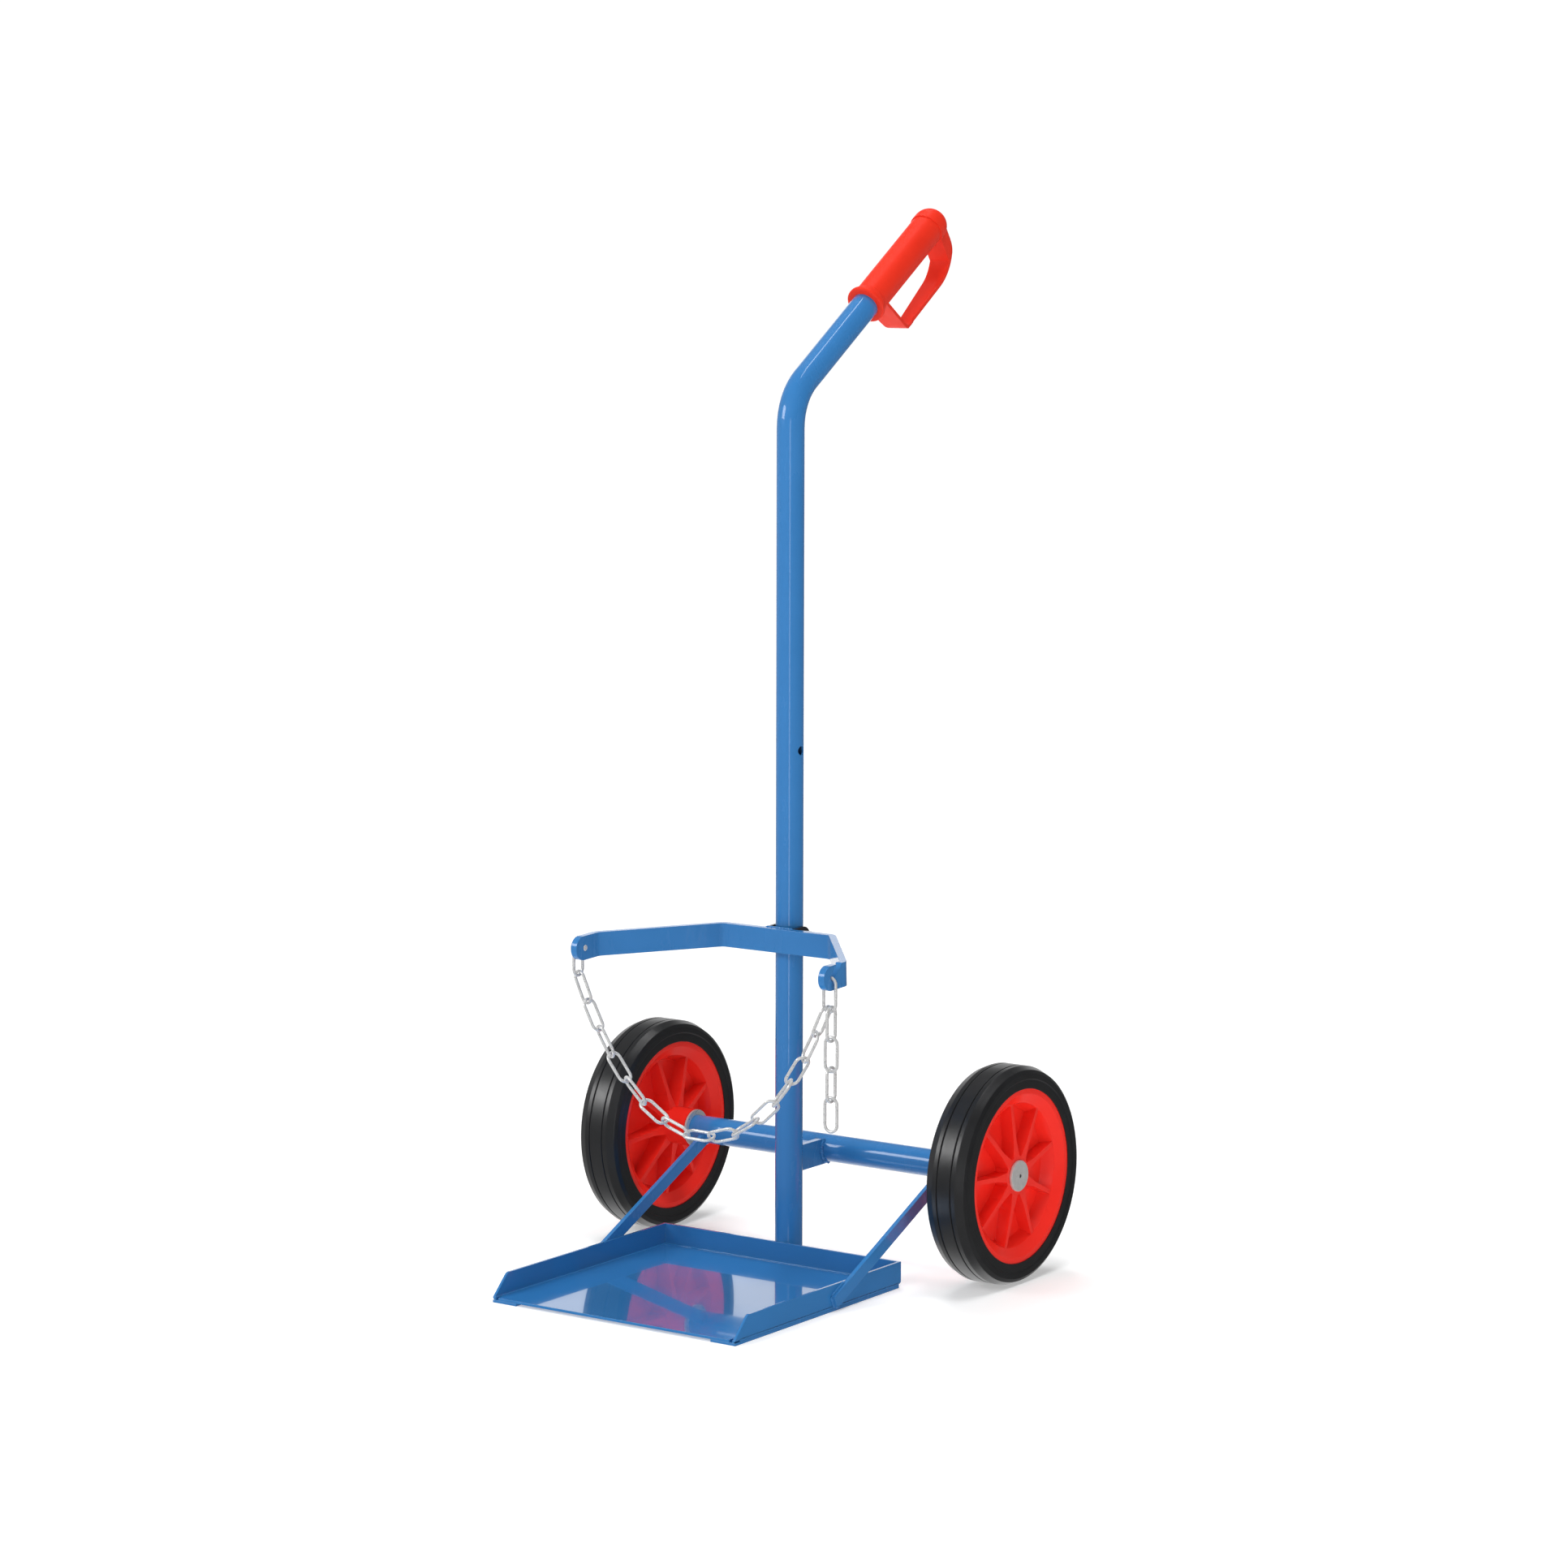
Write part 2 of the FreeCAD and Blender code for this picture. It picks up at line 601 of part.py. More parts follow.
def roller_cage():
    """A sleeve with a pocket for each roller."""
    middle = ALONG * BOSS_MIDDLE
    reach = ALONG * BOSS_LENGTH / 2
    sleeve = ring(HUB_BORE - CAGE_SLACK, AXLE_DIA / 2 + CAGE_SLACK, middle - reach, middle + reach)
    room = BOSS_LENGTH - 2 * (ROLLER_SHORT - POCKET_GAP)
    return sleeve.cut(Part.makeCompound(roller_rods(ROLLER_DIA / 2 + POCKET_GAP, room)))


def rollers():
    return Part.makeCompound(roller_rods(ROLLER_DIA / 2, BOSS_LENGTH - 2 * ROLLER_SHORT))


def on_wheel(shape, side, turn):
    """Puts a wheel's piece on the axle, outer face outwards, turned about the axle."""
    placed = shape.copy()
    if side < 0:
        placed.rotate(V(0, 0, 0), UP, 180)
    placed.rotate(V(0, 0, 0), ALONG, turn)
    placed.translate(V(side * WHEEL_X, AXLE_BACK, AXLE_Z))
    return placed


def nose_down(shape):
    shape.rotate(BOLT, ALONG, CRADLE_TILT)
    return shape


def cradle_bar():
    """Flat bar bent around the cylinder, with a rivet hole in the left tab and a hook slot in the right one."""
    inner = [
        V(-TAB_X, TAB_ROOT - TAB_LENGTH, 0),
        V(-TAB_X, TAB_ROOT, 0),
        V(-CRADLE_MIDDLE / 2, CRADLE_FRONT, 0),
        V(CRADLE_MIDDLE / 2, CRADLE_FRONT, 0),
        V(TAB_X, TAB_ROOT, 0),
        V(TAB_X, TAB_ROOT - TAB_LENGTH, 0),
    ]
    bends = [0] + [CRADLE_BEND] * (len(inner) - 2) + [0]
    face = [(p.x, p.y, bend) for p, bend in zip(inner, bends)]
    rear = [(p.x, p.y, bend and bend + BAR_THICK) for p, bend in zip(beside(inner, BAR_THICK), bends)]
    bar = plate(face + rear[::-1], in_plan(CRADLE_TOP - BAR_WIDTH), UP * BAR_WIDTH)

    tip = TAB_ROOT - TAB_LENGTH
    low = CRADLE_TOP - BAR_WIDTH
    reach = TAB_X + BAR_THICK
    round_tips = plate([
        (tip, low, BAR_WIDTH / 2),
        (0, low, 0),
        (0, CRADLE_TOP, 0),
        (tip, CRADLE_TOP, BAR_WIDTH / 2),
    ], in_side_view(-reach), ALONG * 2 * reach)
    bar = nose_down(bar.common(round_tips))
    bar = bar.cut(rod(RIVET_DIA / 2 + FIT_GAP, PIN - ALONG * (reach + CUT_OVER), PIN))
    return bar.cut(hook_slot())


def beside(path, offset):
    """The points of a path moved sideways to its left by the offset, with its corners mitred."""
    normals = []
    for start, end in zip(path, path[1:]):
        ahead = (end - start).normalize()
        normals.append(V(-ahead.y, ahead.x, 0))
    moved = []
    for i, point in enumerate(path):
        before = normals[max(i - 1, 0)]
        after = normals[min(i, len(normals) - 1)]
        moved.append(point + (before + after) * (offset / (1 + before.dot(after))))
    return moved


def hook_slot():
    """The slanting slot that a link drops into, from its round seat up and back through the bar's top edge."""
    seat = SLOT_SEAT + ALONG * (TAB_X - CUT_OVER)
    width = BAR_THICK + 2 * CUT_OVER
    half = SLOT_WIDTH / 2
    way = box(V(0, 0, -half), V(width, BAR_WIDTH, half))
    way.rotate(V(0, 0, 0), ALONG, SLOT_SLANT)
    way.translate(seat)
    return way.fuse(rod(half, seat, seat + ALONG * width))


def cradle_clevis():
    """A strip bent round the front of the mast, with round-ended lugs for the cradle bolt."""
    low = CRADLE_HEIGHT - BAR_WIDTH / 2
    high = CRADLE_HEIGHT + BAR_WIDTH / 2
    lug = BAR_WIDTH / 2
    strip = box(V(-CLEVIS_OUTSIDE, CLEVIS_FRONT, low), V(CLEVIS_OUTSIDE, lug, high))
    strip = strip.cut(box(V(-CLEVIS_INSIDE, CLEVIS_BACK, low), V(CLEVIS_INSIDE, lug, high)))
    outline = plate([
        (CLEVIS_FRONT, low, 0),
        (lug, low, lug),
        (lug, high, lug),
        (CLEVIS_FRONT, high, 0),
    ], in_side_view(-CLEVIS_OUTSIDE), ALONG * 2 * CLEVIS_OUTSIDE)
    hole = rod(BOLT_DIA / 2 + HOLE_GAP, *bolt_line(-CLEVIS_OUTSIDE - CUT_OVER, CLEVIS_OUTSIDE + CUT_OVER))
    return nose_down(strip.common(outline).cut(hole))


def bolt_line(start, end):
    return V(start, 0, CRADLE_HEIGHT), V(end, 0, CRADLE_HEIGHT)


def hexagon(start, thick):
    """A six-sided head or nut on the cradle bolt's line."""
    reach = BOLT_FLATS / 2 / math.cos(math.radians(30))
    corners = []
    for i in range(6):
        turn = math.radians(60 * i)
        corners.append((reach * math.cos(turn), CRADLE_HEIGHT + reach * math.sin(turn), 0))
    return plate(corners, in_side_view(start), ALONG * thick)


def cradle_bolt():
    shank = rod(BOLT_DIA / 2, *bolt_line(-CLEVIS_OUTSIDE, CLEVIS_OUTSIDE + BOLT_NUT + BOLT_TAIL))
    return shank.fuse(hexagon(-CLEVIS_OUTSIDE - BOLT_HEAD, BOLT_HEAD))


def cradle_nut():
    nut = hexagon(CLEVIS_OUTSIDE, BOLT_NUT)
    return nut.cut(rod(BOLT_DIA / 2 + FIT_GAP, *bolt_line(0, CLEVIS_OUTSIDE + BOLT_NUT + CUT_OVER)))


def chain_rivet():
    """The rivet that the chain's first link hangs on, with a round head outside the left tab."""
    inner_end = PIN - ALONG * (TAB_X - RIVET_PROUD)
    play = BAR_THICK + 2 * (CHAIN_SIDE_PLAY + WIRE_R)
    shank = RIVET_PROUD + play
    return turned([
        (0, 0, 0),
        (0, RIVET_DIA / 2 - RIVET_PROUD, 0),
        (RIVET_PROUD, RIVET_DIA / 2, 0),
        (shank, RIVET_DIA / 2, 0),
        (shank, RIVET_HEAD_DIA / 2, 0),
        (shank + RIVET_HEAD - RIVET_HEAD_CHAMFER, RIVET_HEAD_DIA / 2, 0),
        (shank + RIVET_HEAD, RIVET_HEAD_DIA / 2 - RIVET_HEAD_CHAMFER, 0),
        (shank + RIVET_HEAD, 0, 0),
    ], inner_end, -ALONG)


def wire_section(turn):
    """The corners of the wire's flat-sided section, a given turn round a link from its right leg."""
    outwards = V(math.cos(turn), 0, math.sin(turn))
    bend_centre = UP * math.copysign(LINK_LEG, math.sin(turn))
    corners = []
    for i in range(CHAIN_SIDES):
        facet = 2 * math.pi * (i + 0.5) / CHAIN_SIDES
        offset = outwards * (BEND_R + WIRE_R * math.cos(facet)) + BACK * WIRE_R * math.sin(facet)
        corners.append(bend_centre + offset)
    return corners


def chain_link():
    """One long link in the XZ plane. Its wire and its bends are drawn with few flat sides."""
    bend = [math.pi * i / CHAIN_BEND_STEPS for i in range(CHAIN_BEND_STEPS + 1)]
    sections = [wire_section(turn) for turn in bend]
    sections += [[V(-p.x, p.y, -p.z) for p in section] for section in sections]
    faces = []
    for before, after in zip(sections, sections[1:] + sections[:1]):
        for i in range(CHAIN_SIDES):
            corners = [before[i - 1], before[i], after[i], after[i - 1]]
            faces.append(Part.Face(Part.makePolygon(corners + corners[:1])))
    return Part.Solid(Part.Shell(faces))


def placed_link(link, centre, along, normal):
    """Puts a link with its long axis along one direction and its plane square to another."""
    rotation = FreeCAD.Rotation(normal.cross(along), normal, along, "ZYX")
    placed = link.copy()
    placed.Placement = FreeCAD.Placement(centre, rotation)
    return placed


def hanging_slopes(count, span, rise):
    """Angles of equal links that hang still between two points, span apart and rise higher at the end.

    The tangents of such links grow evenly along the chain, so two searches by halves find their middle and rate.
    """

    def angles(middle, rate):
        return [math.atan(rate * (i - middle)) for i in range(count)]

    def steepened(middle):
        low, high = 0.0, 20.0
        for _ in range(60):
            rate = (low + high) / 2
            if LINK_PITCH * sum(math.cos(a) for a in angles(middle, rate)) > span:
                low = rate
            else:
                high = rate
        return angles(middle, low)

    low, high = 0.0, count - 1.0
    for _ in range(60):
        middle = (low + high) / 2
        if LINK_PITCH * sum(math.sin(a) for a in steepened(middle)) > rise:
            low = middle
        else:
            high = middle
    return steepened(low)


def twin_wire(side):
    """Where the wire of a link rests in the hooked link's lower bend, beside the other link there."""
    across = TWIN_SPACING / 2
    down = math.sqrt((BEND_R - 2 * WIRE_R - CHAIN_SLACK) ** 2 - across**2)
    return HOOK_CENTRE + V(side * across, 0, -LINK_LEG - down)


def loop_links(link):
    """The links of the loop: the first hangs on the rivet, the others hang from it to the hooked link."""
    shapes = [placed_link(link, FIRST_CENTRE, UP, ALONG)]
    start = FIRST_CENTRE - UP * (LINK_END - TOUCH)
    end = twin_wire(-1) - UP * TOUCH
    for _ in range(5):
        slopes = hanging_slopes(LOOP_LINKS - 1, end.x - start.x, end.z - start.z)
        last = V(math.cos(slopes[-1]), 0, math.sin(slopes[-1]))
        end = twin_wire(-1) - last * TOUCH
    for i, slope in enumerate(slopes, start=1):
        ahead = V(math.cos(slope), 0, math.sin(slope))
        part_way = i / LOOP_LINKS
        twist = TWIST_TURN * part_way - TWIST_SWAY * math.sin(math.pi * part_way)
        twist += TWIST_CURL * math.sin(2 * math.pi * part_way)
        twist += TWIST_LEAN if i % 2 else 90 - TWIST_LEAN
        turn = math.radians(twist)
        normal = BACK * math.cos(turn) + ahead.cross(BACK) * math.sin(turn)
        shapes.append(placed_link(link, start + ahead * (LINK_PITCH / 2), ahead, normal))
        start = start + ahead * LINK_PITCH
    return shapes


def tail_links(link):
    """The links that hang down beside the loop, turned a quarter each time."""
    shapes = []
    centre = twin_wire(1) - UP * LINK_END
    for i in range(TAIL_LINKS):
        shapes.append(placed_link(link, centre, UP, BACK if i % 2 else ALONG))
        centre = centre - UP * LINK_PITCH
    return shapes


def all_pieces():
    pieces = {
        "mast_tube": mast_tube(),
        "handle_grip": handle_grip(),
        "tray": tray(),
        "axle_tube": axle_tube(),
        "axle_link": axle_link(),
        "axle_shaft": axle_shaft(),
        "cradle_bar": cradle_bar(),
        "cradle_clevis": cradle_clevis(),
        "cradle_bolt": cradle_bolt(),
        "cradle_nut": cradle_nut(),
        "chain_rivet": chain_rivet(),
    }
    paired = {
        "tray_skid": tray_skid(),
        "brace": brace(),
        "axle_bush": axle_bush(),
        "inner_washer": inner_washer(),
        "axle_cap": axle_cap(),
    }
    for name, shape in paired.items():
        pieces[name + "_right"] = shape
        pieces[name + "_left"] = mirrored(shape)
    wheel = {
        "tyre": tyre(),
        "hub": hub(),
        "roller_cage": roller_cage(),
        "rollers": rollers(),
    }
    for name, shape in wheel.items():
        pieces[name + "_right"] = on_wheel(shape, 1, RIGHT_TURN)
        pieces[name + "_left"] = on_wheel(shape, -1, LEFT_TURN)
    link = chain_link()
    for i, shape in enumerate(loop_links(link), start=1):
        pieces[f"chain_link_{i:02d}"] = shape
    pieces["chain_hooked_link"] = placed_link(link, HOOK_CENTRE, UP, BACK)
    for i, shape in enumerate(tail_links(link), start=1):
        pieces[f"chain_tail_{i}"] = shape
    return pieces


os.makedirs("parts", exist_ok=True)
for name, shape in all_pieces().items():
    shape.translate(TO_ORIGIN)
    shape.exportStep(f"parts/{name}.step")
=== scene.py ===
import json
import math

import bmesh
import bpy
import numpy as np
from mathutils import Matrix, Vector

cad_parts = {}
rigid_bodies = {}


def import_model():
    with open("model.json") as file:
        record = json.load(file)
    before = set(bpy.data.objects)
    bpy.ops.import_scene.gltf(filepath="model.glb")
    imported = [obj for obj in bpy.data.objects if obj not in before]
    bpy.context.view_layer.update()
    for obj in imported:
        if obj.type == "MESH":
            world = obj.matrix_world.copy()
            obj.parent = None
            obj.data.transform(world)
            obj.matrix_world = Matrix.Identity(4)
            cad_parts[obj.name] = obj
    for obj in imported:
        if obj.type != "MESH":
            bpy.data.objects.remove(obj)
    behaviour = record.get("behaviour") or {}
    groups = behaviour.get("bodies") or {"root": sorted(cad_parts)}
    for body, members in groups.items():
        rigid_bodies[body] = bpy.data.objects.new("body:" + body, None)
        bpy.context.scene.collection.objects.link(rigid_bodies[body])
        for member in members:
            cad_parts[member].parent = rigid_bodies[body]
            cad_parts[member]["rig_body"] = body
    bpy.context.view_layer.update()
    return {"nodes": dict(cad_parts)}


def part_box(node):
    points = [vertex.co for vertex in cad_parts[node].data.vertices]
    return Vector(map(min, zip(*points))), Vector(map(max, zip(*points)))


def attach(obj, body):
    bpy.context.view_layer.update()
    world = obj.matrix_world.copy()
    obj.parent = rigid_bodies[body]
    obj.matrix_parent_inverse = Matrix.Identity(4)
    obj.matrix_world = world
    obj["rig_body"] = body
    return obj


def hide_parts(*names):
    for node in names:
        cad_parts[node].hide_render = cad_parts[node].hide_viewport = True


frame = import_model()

NODES = frame["nodes"]
SIDES = {"left": -1, "right": 1}
MM = 0.001


# Materials

BEVEL_SAMPLES = 6
# Cosines between the rounded and the flat normal, from an edge to the open face
EDGE_COSINES = (0.80, 0.995)
# Rings around the axle, in radians per metre
MOULD_RINGS = 2600.0
LATHE_RINGS = 5200.0
# Radii between which the painted shade in a turned cap's centre hole fades out
HOLE_SHADE_RIM = (0.0019, 0.0023)
# Colour of the painted shade inside a turned cap's centre hole
HOLE_PAINTED_SHADE = (0.015, 0.015, 0.016, 1)


def tree_of(name):
    """A new node material, and its node tree and shader."""
    material = bpy.data.materials.new(name)
    material.use_nodes = True
    tree = material.node_tree
    return material, tree, tree.nodes["Principled BSDF"]


def connect(tree, socket, value):
    """Set a socket to a value, or link it to another node's output."""
    if isinstance(value, bpy.types.NodeSocket):
        tree.links.new(value, socket)
    else:
        socket.default_value = value


def node(tree, kind, inputs=None, **settings):
    """A node with its settings, and with its inputs set to values or linked to other nodes' outputs."""
    made = tree.nodes.new("ShaderNode" + kind)
    for key, value in settings.items():
        setattr(made, key, value)
    for key, value in (inputs or {}).items():
        connect(tree, made.inputs[key], value)
    return made


def place(tree, centre=(0, 0, 0), stretch=(1, 1, 1)):
    """Coordinates in metres, in the part's own frame, from a centre and stretched along the axes."""
    coordinates = node(tree, "TexCoord").outputs["Object"]
    moved = node(tree, "VectorMath", {0: coordinates, 1: centre}, operation="SUBTRACT").outputs[0]
    return node(tree, "VectorMath", {0: moved, 1: stretch}, operation="MULTIPLY").outputs[0]


def noise(tree, where, scale, detail=3.0, rough=0.55):
    inputs = {"Vector": where, "Scale": scale, "Detail": detail, "Roughness": rough}
    return node(tree, "TexNoise", inputs).outputs["Fac"]


def ramp(tree, value, *stops):
    """Colours along a value, as (position, colour) stops."""
    made = node(tree, "ValToRGB", {"Fac": value})
    elements = made.color_ramp.elements
    while len(elements) < len(stops):
        elements.new(0.5)
    for element, (position, colour) in zip(elements, stops):
        element.position = position
        element.color = (*colour, 1)
    return made.outputs["Color"]


def spread(tree, value, low, high, start=0.3, end=0.7):
    """A value that goes from low to high while the given one goes from start to end."""
    inputs = {"Value": value, "From Min": start, "From Max": end, "To Min": low, "To Max": high}
    return node(tree, "MapRange", inputs).outputs["Result"]


def mixed(tree, amount, first, second):
    """The first colour, turned into the second by an amount."""
    made = node(tree, "Mix", data_type="RGBA")
    for identifier, value in (("Factor_Float", amount), ("A_Color", first), ("B_Color", second)):
        connect(tree, next(s for s in made.inputs if s.identifier == identifier), value)
    return next(s for s in made.outputs if s.identifier == "Result_Color")


def worn_edges(tree, radius, breakup):
    """How much a point lies on an edge, broken up by a noise, and the edge's rounded normal."""
    rounded = node(tree, "Bevel", {"Radius": radius}, samples=BEVEL_SAMPLES).outputs["Normal"]
    flat = node(tree, "NewGeometry").outputs["Normal"]
    along = node(tree, "VectorMath", {0: rounded, 1: flat}, operation="DOT_PRODUCT").outputs["Value"]
    edge = spread(tree, along, 1.0, 0.0, *EDGE_COSINES)
    broken = node(tree, "Math", {0: edge, 1: breakup}, operation="MULTIPLY").outputs[0]
    return broken, rounded


def bump(tree, height, strength, distance, normal=None):
    inputs = {"Height": height, "Strength": strength, "Distance": distance}
    if normal is not None:
        inputs["Normal"] = normal
    return node(tree, "Bump", inputs).outputs["Normal"]


def around_axle(tree, side):
    """Distance from a wheel's axle, in metres."""
    low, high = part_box("tyre_" + side)
    spot = place(tree, centre=(low + high) / 2, stretch=(0, 1, 1))
    return node(tree, "VectorMath", {0: spot}, operation="LENGTH").outputs["Value"]


def rings_at(tree, radius, rate):
    """A wave that runs in rings around the axle."""
    turns = node(tree, "Math", {0: radius, 1: rate}, operation="MULTIPLY").outputs[0]
    return node(tree, "Math", {0: turns}, operation="SINE").outputs[0]


def finish(tree, shader, colour, roughness, normal, **values):
    """Link what varies over the surface to the shader, and set what doesn't."""
    tree.links.new(colour, shader.inputs["Base Color"])
    tree.links.new(roughness, shader.inputs["Roughness"])
    tree.links.new(normal, shader.inputs["Normal"])
    for key, value in values.items():
        shader.inputs[key.replace("_", " ")].default_value = value


def paint(name, low, high, worn, rough, peel, edge_radius):
    """Gloss coating with an orange-peel surface, faint clouds of colour and thin paint on its edges."""
    material, tree, shader = tree_of(name)
    where = place(tree)
    clouds = noise(tree, where, scale=9.0, detail=4.0)
    specks = noise(tree, where, scale=420.0, detail=2.0)
    colour = ramp(tree, clouds, (0.35, low), (0.68, high))
    edge, rounded = worn_edges(tree, edge_radius, spread(tree, specks, low=0.15, high=0.6))
    colour = mixed(tree, edge, colour, (*worn, 1))
    smears = noise(tree, place(tree, stretch=(1, 1, 0.35)), scale=26.0, detail=5.0, rough=0.62)
    roughness = spread(tree, smears, *rough)
    orange_peel = noise(tree, where, scale=260.0, detail=1.5)
    surface = bump(tree, orange_peel, strength=peel, distance=0.0004, normal=rounded)
    tree.links.new(rounded, shader.inputs["Coat Normal"])
    finish(tree, shader, colour, roughness, surface, Specular_IOR_Level=0.15,
           Coat_Weight=1.0, Coat_Roughness=0.03, Coat_IOR=1.45)
    return material


def plastic(name, low, high, worn, rough, grain_scale, grain, edge_radius, wear=0.65, shine=0.5):
    """Moulded plastic with a fine surface grain, faint flow marks and pale edges."""
    material, tree, shader = tree_of(name)
    where = place(tree)
    flow = noise(tree, place(tree, stretch=(1, 0.6, 0.6)), scale=22.0, detail=4.0)
    colour = ramp(tree, flow, (0.32, low), (0.7, high))
    specks = noise(tree, where, scale=300.0)
    edge, _ = worn_edges(tree, edge_radius, spread(tree, specks, low=0.3 * wear, high=wear))
    colour = mixed(tree, edge, colour, (*worn, 1))
    scuffs = noise(tree, where, scale=55.0, detail=5.0, rough=0.65)
    roughness = spread(tree, scuffs, *rough)
    surface = bump(tree, noise(tree, where, grain_scale, detail=2.0), strength=grain, distance=0.0003)
    finish(tree, shader, colour, roughness, surface, Specular_IOR_Level=shine)
    return material


def rubber(name, side, low, high, worn, rough, edge_radius):
    """Black rubber with mould rings around the axle, dusty patches and rubbed edges."""
    material, tree, shader = tree_of(name)
    where = place(tree)
    dust = noise(tree, where, scale=30.0, detail=6.0, rough=0.65)
    colour = ramp(tree, dust, (0.35, low), (0.72, high))
    specks = noise(tree, where, scale=260.0)
    edge, rounded = worn_edges(tree, edge_radius, spread(tree, specks, low=0.1, high=0.6))
    colour = mixed(tree, edge, colour, (*worn, 1))
    roughness = spread(tree, noise(tree, where, scale=40.0), *rough)
    rings = rings_at(tree, around_axle(tree, side), MOULD_RINGS)
    ringed = bump(tree, rings, strength=0.06, distance=0.0002, normal=rounded)
    grain = noise(tree, where, scale=900.0, detail=2.0)
    surface = bump(tree, grain, strength=0.05, distance=0.0003, normal=ringed)
    finish(tree, shader, colour, roughness, surface, Specular_IOR_Level=0.8)
    return material


def metal(name, low, high, worn, rough, spangle, edge_radius, bare, turned_on=None):
    """Plated metal with a faint spangle, or, where it was turned, with lathe rings around the axle and
    painted shade darkening its centre hole.
    """
    material, tree, shader = tree_of(name)
    where = place(tree)
    patches = noise(tree, where, spangle, detail=4.0, rough=0.6)
    colour = ramp(tree, patches, (0.3, low), (0.7, high))
    specks = noise(tree, where, scale=500.0)
    edge, rounded = worn_edges(tree, edge_radius, spread(tree, specks, low=0.2, high=0.8))
    colour = mixed(tree, edge, colour, (*worn, 1))
    roughness = spread(tree, noise(tree, where, spangle * 2.5, detail=4.0), *rough)
    if turned_on:
        radius = around_axle(tree, turned_on)
        # Painted shade: the centre hole is darkened in the colour itself, standing in for the shade inside
        # the recess
        colour = mixed(tree, spread(tree, radius, 1.0, 0.0, *HOLE_SHADE_RIM), colour, HOLE_PAINTED_SHADE)
        height = rings_at(tree, radius, LATHE_RINGS)
    else:
        height = noise(tree, where, scale=650.0)
    surface = bump(tree, height, strength=0.05, distance=0.0003, normal=rounded)
    finish(tree, shader, colour, roughness, surface, Metallic=bare)
    return material


BLUE = paint(
    "blue_paint", low=(0.032, 0.180, 0.450), high=(0.036, 0.192, 0.475), worn=(0.07, 0.25, 0.53),
    rough=(0.22, 0.30), peel=0.06, edge_radius=0.0009)
BLUE_TRAY = paint(
    "blue_tray_paint", low=(0.028, 0.170, 0.43), high=(0.031, 0.180, 0.45), worn=(0.07, 0.25, 0.53),
    rough=(0.10, 0.16), peel=0.03, edge_radius=0.0008)
CLEVIS = paint(
    "black_clevis_paint", low=(0.010, 0.012, 0.016), high=(0.020, 0.022, 0.028), worn=(0.10, 0.10, 0.11),
    rough=(0.30, 0.45), peel=0.12, edge_radius=0.0006)
GRIP = plastic(
    "red_grip_plastic", low=(0.72, 0.028, 0.012), high=(0.78, 0.034, 0.015), worn=(0.84, 0.06, 0.03),
    rough=(0.38, 0.50), grain_scale=1300.0, grain=0.14, edge_radius=0.0012, wear=0.4, shine=0.15)
HUB = plastic(
    "red_hub_plastic", low=(0.90, 0.025, 0.016), high=(0.95, 0.031, 0.020), worn=(0.97, 0.05, 0.035),
    rough=(0.10, 0.17), grain_scale=400.0, grain=0.02, edge_radius=0.0010, wear=0.3, shine=0.4)
CAGE = plastic(
    "cage_plastic", low=(0.42, 0.40, 0.34), high=(0.52, 0.50, 0.44), worn=(0.60, 0.58, 0.52),
    rough=(0.45, 0.60), grain_scale=900.0, grain=0.15, edge_radius=0.0005)
ZINC = metal(
    "zinc_chain", low=(0.77, 0.77, 0.77), high=(0.88, 0.88, 0.87), worn=(0.93, 0.93, 0.93),
    rough=(0.24, 0.36), spangle=120.0, edge_radius=0.0004, bare=0.55)
STEEL = metal(
    "zinc_washer", low=(0.66, 0.66, 0.66), high=(0.78, 0.78, 0.77), worn=(0.88, 0.88, 0.87),
    rough=(0.24, 0.38), spangle=90.0, edge_radius=0.0005, bare=0.5)
CAP = {side: metal(
    "turned_cap_" + side, low=(0.62, 0.62, 0.61), high=(0.76, 0.75, 0.74), worn=(0.86, 0.86, 0.85),
    rough=(0.28, 0.42), spangle=150.0, edge_radius=0.0006, bare=0.5, turned_on=side) for side in SIDES}
RUBBER = {side: rubber(
    "tyre_rubber_" + side, side, low=(0.0060, 0.0064, 0.0073), high=(0.010, 0.0106, 0.012),
    worn=(0.022, 0.023, 0.025), rough=(0.28, 0.36), edge_radius=0.0012) for side in SIDES}

# The finish of each node, by the longest of these names that its own name starts with
FINISHES = {
    "mast_tube": BLUE,
    "axle_tube": BLUE,
    "axle_link": BLUE,
    "brace": BLUE,
    "cradle_bar": BLUE,
    "tray": BLUE_TRAY,
    "tray_skid": BLUE,
    "handle_grip": GRIP,
    "hub": HUB,
    "tyre": RUBBER,
    "axle_cap": CAP,
    "inner_washer": STEEL,
    "axle_shaft": STEEL,
    "axle_bush": STEEL,
    "rollers": STEEL,
    "roller_cage": CAGE,
    "cradle_clevis": CLEVIS,
    "cradle_bolt": STEEL,
    "cradle_nut": STEEL,
    "chain": ZINC,
}

for name, thing in NODES.items():
    kind = max((k for k in FINISHES if name.startswith(k)), key=len)
    look = FINISHES[kind]
    if isinstance(look, dict):
        look = look[name.rsplit("_", 1)[1]]
    thing.data.materials.clear()
    thing.data.materials.append(look)


# Meshes made of rings of points

def skin(mesh, rings):
    """Faces between neighbouring rings."""
    for first, second in zip(rings, rings[1:]):
        for k in range(len(first)):
            mesh.faces.new((first[k - 1], first[k], second[k], second[k - 1]))


def kept(mesh, name, look):
    """The finished mesh, with its faces turned outwards and its material."""
    bmesh.ops.recalc_face_normals(mesh, faces=mesh.faces)
    made = bpy.data.meshes.new(name)
    mesh.to_mesh(made)
    mesh.free()
    made.materials.append(look)
    return made


def added(name, data):
    """A new object in the scene."""
    thing = bpy.data.objects.new(name, data)
    bpy.context.scene.collection.objects.link(thing)
    return thing


# Chain links of round wire, in place of the flat-sided ones

WIRE_SIDES = 14
BEND_STEPS = 12
LEG_STEPS = 10
